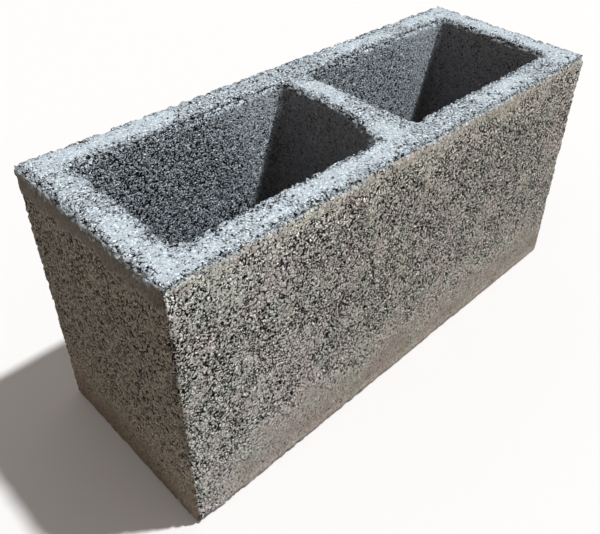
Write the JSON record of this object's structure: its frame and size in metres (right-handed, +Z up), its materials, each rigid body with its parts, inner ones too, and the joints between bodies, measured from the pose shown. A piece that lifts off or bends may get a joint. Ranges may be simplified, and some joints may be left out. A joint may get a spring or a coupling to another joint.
{
  "type": "concrete block",
  "caption": "Hollow concrete masonry block with flush ends and two open rectangular cells, for mortared walls.",
  "frame": {"origin": "middle of the lower bed face, on the surface that the block stands on", "axes": "+X along the length, towards one end face; +Y across the width, towards one face shell; +Z up, towards the upper bed face, where the cells are widest"},
  "size_m": [0.4, 0.15, 0.2],
  "materials": {
    "concrete": "open-textured dry-cast concrete, matte, with a smoother and paler upper bed face"
  },
  "bodies": {
    "root": {"block": "concrete"}
  },
  "joints": []
}
